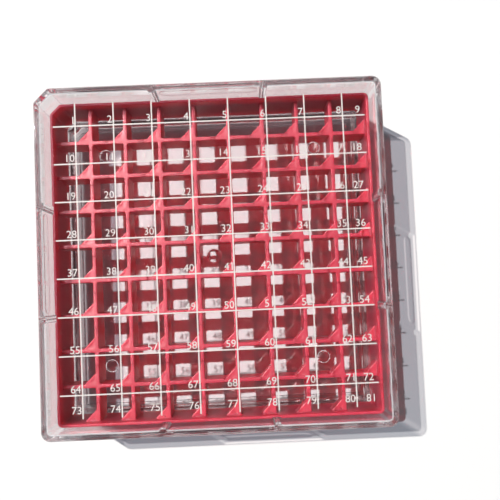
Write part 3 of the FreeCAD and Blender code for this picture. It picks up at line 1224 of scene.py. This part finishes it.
@dataclass
class Lid:
    """Clear lid: side panels with a long bar, guide ribs inside, mould marks, printed top.

    Args:
        inner_half: half the inner size.
        ceiling: height of the underside of the top.
        edge_radius: rounding of the top edge.
        panel_half: half the length of a side panel.
        panel_depth: depth of a side panel.
        panel_top: height of a side panel's upper edge.
        bar_length: length of the bar in a side panel.
        bar_height: height of the bar, which is also the diameter of its ends.
        bar_centre: height of the bar's middle.
        bar_end_steps: segments in each round end of the bar.
        rib_width: width of a guide rib at its foot.
        rib_depth: how far a guide rib stands in from the wall.
        mark_offset: distance of the ejector marks from both middle lines.
        mark_radius: radius of an ejector mark.
        mark_depth: depth of an ejector mark.
        mark_bevel: how much narrower an ejector mark is at its bottom.
        gate_radius: radius of the gate mark.
        gate_depth: scale of the gate mark's depth.
        ink_gap: how far the top lies under the ink.
        rim_gap: how far the rim lies inside the CAD box.
    """

    inner_half: float = 64.7 * MM
    ceiling: float = 50.4 * MM
    edge_radius: float = 0.8 * MM
    panel_half: float = 21.5 * MM
    panel_depth: float = 0.6 * MM
    panel_top: float = 50.2 * MM
    bar_length: float = 38.5 * MM
    bar_height: float = 5.5 * MM
    bar_centre: float = 43.0 * MM
    bar_end_steps: int = 12
    rib_width: float = 3.0 * MM
    rib_depth: float = 0.9 * MM
    mark_offset: float = 39.5 * MM
    mark_radius: float = 2.35 * MM
    mark_depth: float = 0.25 * MM
    mark_bevel: float = 0.22 * MM
    gate_radius: float = 2.85 * MM
    gate_depth: float = 0.35 * MM
    ink_gap: float = 0.01 * MM
    rim_gap: float = 0.03 * MM

    def build(self, material: bpy.types.Material) -> bpy.types.Object:
        """The lid as one moulded mesh.

        Args:
            material: its finish.

        Returns:
            The piece.
        """
        low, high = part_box("lid")
        outline = box_outline("lid")
        top = high.z - self.ink_gap
        rim = low.z + self.rim_gap
        corners = [
            Corner(self.inner_half - 2.0 * MM, self.ceiling),
            Corner(self.inner_half, self.ceiling, 0.8 * MM),
            Corner(self.inner_half, rim, 0.3 * MM),
            Corner(outline.half, rim, 0.25 * MM),
            Corner(outline.half, self.panel_top - 0.6 * MM),
            Corner(outline.half, self.panel_top),
            Corner(outline.half, top, self.edge_radius),
            Corner(outline.half - 2.0 * MM, top),
        ]
        profile = rounded_profile(corners, closed=False, steps=5)
        middle = (outline.half + self.inner_half) / 2

        def shape(station: Station, at: float, height: float) -> float:
            """Recessed panels outside and guide ribs inside."""
            if not station.straight:
                return 0.0
            along = abs(station.along)
            if at > middle:
                level = ramp(height, self.panel_top - 0.3 * MM, 0.6 * MM)
                return -self.panel_depth * ramp(along, self.panel_half, 0.6 * MM) * level
            if at < self.inner_half - 1.0 * MM:
                return 0.0
            across = abs(along - self.panel_half)
            return -self.rib_depth * ramp(across, self.rib_width / 2 - 0.3 * MM, 0.6 * MM)

        marks = [0.0]
        for side in (-1, 1):
            for step in (-1.5, -0.9, -0.3, 0.3, 0.9, 1.5):
                marks.append(side * (self.panel_half + step * MM))
        skin = RingMesh().sweep(outline, profile, marks, shape)
        lid = mesh_object("lid_moulding", skin.to_bmesh(closed=False, caps=True))
        combine(lid, [self._bar(turn) for turn in range(4)], "UNION")
        combine(lid, self._mark_tools(top), "DIFFERENCE")
        smooth(lid)
        dress(lid, material)
        settle(lid, Body.LID, Slot.CLEAR, "lid")
        return lid

    def _bar(self, turn: int) -> bpy.types.Object:
        """The long round-ended bar in one side panel, its front edge softened.

        Args:
            turn: the side, in quarter turns from the front.

        Returns:
            A closed mesh.
        """
        radius = self.bar_height / 2
        reach = self.bar_length / 2 - radius
        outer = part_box("lid")[1].x
        soft = 0.2 * MM
        levels = (
            (outer - self.panel_depth - 0.3 * MM, 0.0),
            (outer - soft, 0.0),
            (outer - 0.06 * MM, soft * 0.3),
            (outer, soft),
        )
        mesh = RingMesh()
        c, s = math.cos(turn * math.pi / 2), math.sin(turn * math.pi / 2)
        for out, shrink in levels:
            ring: Ring = []
            for side, start in ((1, -90), (-1, 90)):
                for step in range(self.bar_end_steps + 1):
                    angle = math.radians(start + 180 * step / self.bar_end_steps)
                    x = side * reach + (radius - shrink) * math.cos(angle)
                    z = self.bar_centre + (radius - shrink) * math.sin(angle)
                    ring.append((c * x + s * out, s * x - c * out, z))
            mesh.rings.append(ring)
        return mesh_object(f"bar_{turn}", mesh.to_bmesh(closed=False, caps=True))

    def _mark_tools(self, top: float) -> list[bpy.types.Object]:
        """Tools for the flat ejector marks in the ceiling and the dished gate mark on the top.

        Args:
            top: height of the lid's top.

        Returns:
            Closed meshes to cut away.
        """
        bottom_radius = self.mark_radius - self.mark_bevel
        flat = [(self.mark_radius, -0.5 * MM), (self.mark_radius, 0.0), (bottom_radius, self.mark_depth)]
        dish = [(self.gate_radius, 0.5 * MM), (self.gate_radius, 0.0), (self.gate_radius * 0.97, -0.15 * MM)]
        for share in (0.9, 0.8, 0.66, 0.5, 0.28):
            dish.append((self.gate_radius * share, -self.gate_depth * (1.2 - share * share)))
        tools = [self._round_tool((0.0, 0.0), top, dish)]
        for across in (-1, 1):
            for back in (-1, 1):
                place = (across * self.mark_offset, back * self.mark_offset)
                tools.append(self._round_tool(place, self.ceiling, flat))
        return tools

    @staticmethod
    def _round_tool(place: Point, level: float, rows: Sequence[Point]) -> bpy.types.Object:
        """A round tool.

        Args:
            place: its axis in plan.
            level: height that its rows are measured from.
            rows: radius and rise of each ring.

        Returns:
            A closed mesh.
        """
        turns = [2 * math.pi * step / ROUND_STEPS for step in range(ROUND_STEPS)]
        mesh = RingMesh()
        for radius, rise in rows:
            mesh.rings.append([
                (place[0] + radius * math.cos(a), place[1] + radius * math.sin(a), level + rise)
                for a in turns
            ])
        return mesh_object("round_tool", mesh.to_bmesh(closed=False, caps=True))


@dataclass
class PrintedTop:
    """White ink on the lid: the grid from CAD and the numbers of the cells.

    Args:
        pitch_across: distance between lines from left to right.
        pitch_back: distance between lines from front to back.
        shift: where the middle of the print lies.
        digit_height: height of a digit.
        beside_line: gap between a number and the line at its right.
        above_line: gap between a number and the line under it.
        last_right: right edge of the last column's numbers.
        last_drop: how far the last row's numbers stand below the last line.
    """

    pitch_across: float = 14.525 * MM
    pitch_back: float = 14.44 * MM
    shift: Point = (0.2 * MM, 0.75 * MM)
    digit_height: float = 2.8 * MM
    beside_line: float = 0.55 * MM
    above_line: float = 0.85 * MM
    last_right: float = 57.7 * MM
    last_drop: float = 6.9 * MM

    def build(self, material: bpy.types.Material) -> bpy.types.Object:
        """The numbers as one piece, with the CAD grid given the same ink.

        Args:
            material: the ink.

        Returns:
            The numbers.
        """
        dress(frame["nodes"]["printed_grid"], material)
        low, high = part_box("printed_grid")
        bm = bmesh.new()
        for number in range(1, CELLS_PER_SIDE**2 + 1):
            self._add_number(bm, number, low.z, high.z - low.z)
        numbers = mesh_object("printed_numbers", bm)
        dress(numbers, material)
        settle(numbers, Body.LID, Slot.INK)
        return numbers

    def _place(self, number: int) -> Point:
        """Lower right corner of a number.

        Args:
            number: the number, from 1.

        Returns:
            The corner.
        """
        row, column = divmod(number - 1, CELLS_PER_SIDE)
        middle = CELLS_PER_SIDE / 2
        lines = CELLS_PER_SIDE - 1
        if column < lines:
            right = (column + 1 - middle) * self.pitch_across + self.shift[0] - self.beside_line
        else:
            right = self.last_right
        if row < lines:
            bottom = (middle - row - 1) * self.pitch_back + self.shift[1] + self.above_line
        else:
            bottom = (middle - lines) * self.pitch_back + self.shift[1] - self.last_drop
        return right, bottom

    def _add_number(self, bm: bmesh.types.BMesh, number: int, level: float, thickness: float) -> None:
        """Adds one number as a thin raised layer.

        Args:
            bm: the mesh that it is added to.
            number: the number.
            level: height of its underside.
            thickness: thickness of the ink.
        """
        curve = bpy.data.curves.new("number", "FONT")
        curve.body = str(number)
        curve.resolution_u = 3
        text = bpy.data.objects.new("number", curve)
        bpy.context.scene.collection.objects.link(text)
        bpy.context.view_layer.update()
        graph = bpy.context.evaluated_depsgraph_get()
        flat = bpy.data.meshes.new_from_object(text.evaluated_get(graph))
        bpy.data.objects.remove(text)
        xs = [v.co.x for v in flat.vertices]
        ys = [v.co.y for v in flat.vertices]
        scale = self.digit_height / (max(ys) - min(ys))
        right, bottom = self._place(number)
        part = bmesh.new()
        part.from_mesh(flat)
        bpy.data.meshes.remove(flat)
        bmesh.ops.remove_doubles(part, verts=part.verts, dist=1e-6)
        for vertex in part.verts:
            x, y, _ = vertex.co
            vertex.co = (right + (x - max(xs)) * scale, bottom + (y - min(ys)) * scale, level)
        raised = bmesh.ops.extrude_face_region(part, geom=part.faces[:])
        lifted = [g for g in raised["geom"] if isinstance(g, bmesh.types.BMVert)]
        bmesh.ops.translate(part, vec=(0, 0, thickness), verts=lifted)
        whole = bpy.data.meshes.new("number")
        part.to_mesh(whole)
        part.free()
        bm.from_mesh(whole)
        bpy.data.meshes.remove(whole)


# ---------------------------------------------------------------- studio


@dataclass(frozen=True)
class Lamp:
    """A square lamp aimed at the box; the smaller it is, the harder its shadows.

    Args:
        name: the lamp's name.
        place: where it stands.
        size: length of its sides.
        power: watts.
        colour: its colour.
    """

    name: str
    place: tuple[float, float, float]
    size: float
    power: float
    colour: tuple[float, float, float]

    def hang(self, target: Vector) -> None:
        """Adds the lamp to the scene.

        Args:
            target: the point that it faces.
        """
        data = bpy.data.lights.new(self.name, "AREA")
        data.size = self.size
        data.energy = self.power
        data.color = self.colour
        lamp = bpy.data.objects.new(self.name, data)
        lamp.location = self.place
        lamp.rotation_euler = (target - Vector(self.place)).to_track_quat("-Z", "Y").to_euler()
        bpy.context.scene.collection.objects.link(lamp)


@dataclass
class Studio:
    """Pale floor, one small far lamp with hard shadows, a pale surround and the camera.

    Args:
        eye: the camera's place.
        turn: the camera's turn about X, Y and Z in radians.
        focal_mm: focal length for a 36 mm sensor.
        key: the lamp.
        aim: the point that the lamp faces.
        floor_half: half the size of the floor.
        floor_gap: how far the floor lies under the box.
        sky: colour of the surround.
        horizon: brightness of the surround near the horizon.
        zenith: brightness of the surround overhead.
        fade_end: upward part of a direction from which the surround is as dark as overhead.
        bounces: most bounces of any path of light.
        skin_bounces: most clear skins or reflections on one path.
    """

    eye: tuple[float, float, float] = (10.5 * MM, -14.4 * MM, 314.7 * MM)
    turn: tuple[float, float, float] = (0.0610, -0.0094, -0.0426)
    focal_mm: float = 50.4
    key: Lamp = Lamp("key", (-1.74, 1.10, 4.10), size=0.05, power=285.0, colour=(1.0, 0.985, 0.96))
    aim: tuple[float, float, float] = (0.0, 0.0, 0.02)
    floor_half: float = 3.0
    floor_gap: float = 0.1 * MM
    sky: Colour = (0.84, 0.92, 1.0, 1.0)
    horizon: float = 0.82
    zenith: float = 0.07
    fade_end: float = 0.6
    bounces: int = 64
    skin_bounces: int = 48

    def build(self) -> None:
        """Sets up everything that isn't part of the object."""
        self._floor()
        self._surround()
        self.key.hang(Vector(self.aim))
        self._camera()
        cycles = bpy.context.scene.cycles
        cycles.max_bounces = self.bounces
        cycles.transmission_bounces = self.skin_bounces
        cycles.glossy_bounces = self.skin_bounces
        cycles.transparent_max_bounces = self.skin_bounces
        bpy.context.scene.view_settings.view_transform = "Standard"

    def _floor(self) -> None:
        """A wide floor just under the box."""
        bm = bmesh.new()
        bmesh.ops.create_grid(bm, x_segments=1, y_segments=1, size=self.floor_half)
        floor = mesh_object("studio_floor", bm, outward=False)
        floor.location.z = -self.floor_gap
        dress(floor, BenchTop().build())

    def _surround(self) -> None:
        """A pale surround, brighter near the horizon than overhead."""
        world = bpy.data.worlds.new("studio")
        world.use_nodes = True
        line = NodeLine(world.node_tree)
        way = line.add("ShaderNodeTexCoord").outputs["Generated"]
        split = line.add("ShaderNodeSeparateXYZ", {0: way})
        brightness = line.add(
            "ShaderNodeMapRange",
            {
                "Value": split.outputs["Z"],
                "From Max": self.fade_end,
                "To Min": self.horizon,
                "To Max": self.zenith,
            },
            interpolation_type="SMOOTHSTEP",
        )
        shade = world.node_tree.nodes["Background"]
        shade.inputs["Color"].default_value = self.sky
        line.tree.links.new(brightness.outputs[0], shade.inputs["Strength"])
        bpy.context.scene.world = world

    def _camera(self) -> None:
        """The camera, looking down from above the box."""
        data = bpy.data.cameras.new("camera")
        data.sensor_width = 36.0
        data.lens = self.focal_mm
        data.clip_start = 0.01
        camera = bpy.data.objects.new("camera", data)
        camera.location = self.eye
        camera.rotation_euler = self.turn
        bpy.context.scene.collection.objects.link(camera)
        bpy.context.scene.camera = camera


def main() -> None:
    """Builds the finishes, the three mouldings, the print and the studio."""
    logging.basicConfig(level=logging.INFO, format="%(name)s %(message)s")
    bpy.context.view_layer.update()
    effects = SharedEffects(moulded_surface_group(), scuff_group())
    clear = ClearPlastic("polished_clear_moulding").build(effects)
    thick = ClearPlastic("thick_clear_moulding", side_shade=(0.10, 0.10, 0.11, 1.0)).build(effects)
    red = RedPlastic("red_moulding").build(effects)
    ink = ScreenInk("screen_print_white").build(effects)
    BaseTray().build(thick)
    DividerInsert().build(red)
    Lid().build(clear)
    PrintedTop().build(ink)
    Studio().build()


if __name__ == "__main__":
    main()
